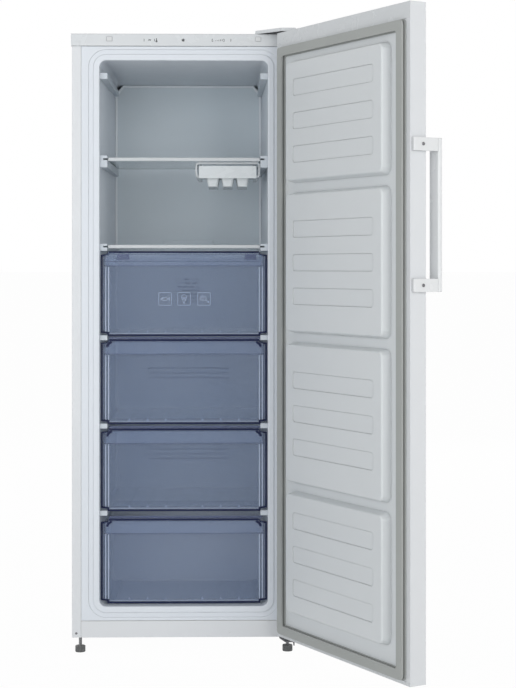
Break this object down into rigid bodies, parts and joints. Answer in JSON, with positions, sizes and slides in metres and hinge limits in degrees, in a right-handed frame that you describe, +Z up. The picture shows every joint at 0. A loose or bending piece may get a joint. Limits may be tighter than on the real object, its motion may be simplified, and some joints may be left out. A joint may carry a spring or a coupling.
{
  "type": "upright freezer",
  "caption": "Upright freezer on levelling feet and rollers: a side-hinged door with a bar handle, glass shelves, an ice tray and clear drawers over a rear machine room.",
  "frame": {"origin": "centre of the left front foot's underside, on the floor", "axes": "+X to the right as seen from the front, +Y towards the cabinet's back, +Z up"},
  "size_m": [0.9194, 1.1526, 1.66],
  "materials": {
    "white_steel": "satin",
    "zinc_steel": "matte",
    "hinge_steel": "satin",
    "black_steel": "satin",
    "copper": "satin",
    "condenser_steel": "satin",
    "fin_aluminium": "satin",
    "foam": "matte",
    "liner": "satin",
    "door_liner": "satin",
    "cover": "satin",
    "runner": "satin",
    "gasket": "matte",
    "fascia": "satin",
    "button": "satin",
    "board": "satin",
    "clear_drawer": "gloss",
    "drawer_front": "gloss",
    "shelf_glass": "gloss",
    "trim": "gloss",
    "ice_carrier": "gloss",
    "ice_tray": "satin",
    "handle": "gloss",
    "screw": "satin",
    "black_plastic": "matte",
    "foot_plastic": "matte",
    "grey_plastic": "satin",
    "mount_rubber": "matte",
    "bush_plastic": "satin"
  },
  "bodies": {
    "cabinet": {"left_side_panel": "white_steel", "right_side_panel": "white_steel", "top_panel": "white_steel", "back_panel": "zinc_steel", "machine_room_wall": "zinc_steel", "insulation_foam": "foam", "inner_liner": "liner", "front_cross_rail": "zinc_steel", "kick_panel": "white_steel", "control_fascia": "fascia", "control_board": "board", "top_hinge_bracket": "hinge_steel", "hinge_screws": "screw", "top_hinge_cover": "fascia", "bottom_hinge_bracket": "hinge_steel", "roller_forks": "zinc_steel", "compressor_base": "zinc_steel", "compressor": "black_steel", "compressor_mounts": "mount_rubber", "drip_tray": "black_plastic", "drain_tube": "grey_plastic", "refrigerant_pipes": "copper", "condenser_coil": "condenser_steel", "mains_inlet": "black_plastic", "evaporator_cover": "cover", "evaporator": "fin_aluminium", "defrost_heater": "hinge_steel", "fan_motor": "grey_plastic", "shelf_runners": "runner"},
    "door": {"door_outer_panel": "white_steel", "door_foam": "foam", "door_liner": "door_liner", "door_gasket": "gasket", "door_top_cap": "fascia", "door_bottom_cap": "fascia", "hinge_bushes": "bush_plastic", "handle_bar": "handle", "handle_feet": "handle", "handle_screws": "screw"},
    "upper_shelf": {"upper_shelf_glass": "shelf_glass", "upper_shelf_trim": "trim", "ice_tray_carrier": "ice_carrier"},
    "ice_tray_body": {"ice_tray": "ice_tray"},
    "lower_shelf": {"lower_shelf_glass": "shelf_glass", "lower_shelf_trim": "trim"},
    "left_button_body": {"left_button": "button"},
    "right_button_body": {"right_button": "button"},
    "fan_wheel": {"fan_rotor": "grey_plastic"},
    "left_roller": {"left_rear_roller": "black_plastic"},
    "right_roller": {"right_rear_roller": "black_plastic"},
    "left_foot": {"left_front_foot": "foot_plastic"},
    "right_foot": {"right_front_foot": "foot_plastic"},
    "drawer_1": {"drawer_1_tub": "clear_drawer", "drawer_1_front": "drawer_front"},
    "drawer_2": {"drawer_2_tub": "clear_drawer", "drawer_2_front": "drawer_front"},
    "drawer_3": {"drawer_3_tub": "clear_drawer", "drawer_3_front": "drawer_front"},
    "drawer_4": {"drawer_4_tub": "clear_drawer", "drawer_4_front": "drawer_front"}
  },
  "joints": [
    {"name": "door_hinge", "type": "hinge", "parent": "cabinet", "child": "door", "pos_m": [0.558, -0.066, 0.05], "axis": [0, 0, 1], "range_deg": [-119.5, 15.5]},
    {"name": "drawer_1_slide", "type": "slide", "parent": "cabinet", "child": "drawer_1", "axis": [0, -1, 0], "range_m": [0, 0.33]},
    {"name": "drawer_2_slide", "type": "slide", "parent": "cabinet", "child": "drawer_2", "axis": [0, -1, 0], "range_m": [0, 0.33]},
    {"name": "drawer_3_slide", "type": "slide", "parent": "cabinet", "child": "drawer_3", "axis": [0, -1, 0], "range_m": [0, 0.33]},
    {"name": "drawer_4_slide", "type": "slide", "parent": "cabinet", "child": "drawer_4", "axis": [0, -1, 0], "range_m": [0, 0.25]},
    {"name": "upper_shelf_slide", "type": "slide", "parent": "cabinet", "child": "upper_shelf", "axis": [0, -1, 0], "range_m": [0, 0.3]},
    {"name": "lower_shelf_slide", "type": "slide", "parent": "cabinet", "child": "lower_shelf", "axis": [0, -1, 0], "range_m": [0, 0.3]},
    {"name": "ice_tray_slide", "type": "slide", "parent": "upper_shelf", "child": "ice_tray_body", "axis": [0, -1, 0], "range_m": [0, 0.15]},
    {"name": "left_button_press", "type": "slide", "parent": "cabinet", "child": "left_button_body", "axis": [0, 1, 0], "range_m": [0, 0.0015], "stiffness_N_per_m": 600},
    {"name": "right_button_press", "type": "slide", "parent": "cabinet", "child": "right_button_body", "axis": [0, 1, 0], "range_m": [0, 0.0015], "stiffness_N_per_m": 600},
    {"name": "fan_spin", "type": "hinge", "parent": "cabinet", "child": "fan_wheel", "pos_m": [0.2775, 0.456, 0.96], "axis": [0, 1, 0], "continuous": true},
    {"name": "left_roller_spin", "type": "hinge", "parent": "cabinet", "child": "left_roller", "pos_m": [0.03, 0.532, 0.019], "axis": [1, 0, 0], "continuous": true},
    {"name": "right_roller_spin", "type": "hinge", "parent": "cabinet", "child": "right_roller", "pos_m": [0.525, 0.532, 0.019], "axis": [1, 0, 0], "continuous": true},
    {"name": "left_foot_turn", "type": "hinge", "parent": "cabinet", "child": "left_foot", "pos_m": [0, 0, 0], "axis": [0, 0, 1], "continuous": true},
    {"name": "right_foot_turn", "type": "hinge", "parent": "cabinet", "child": "right_foot", "pos_m": [0.555, 0, 0], "axis": [0, 0, 1], "continuous": true}
  ]
}
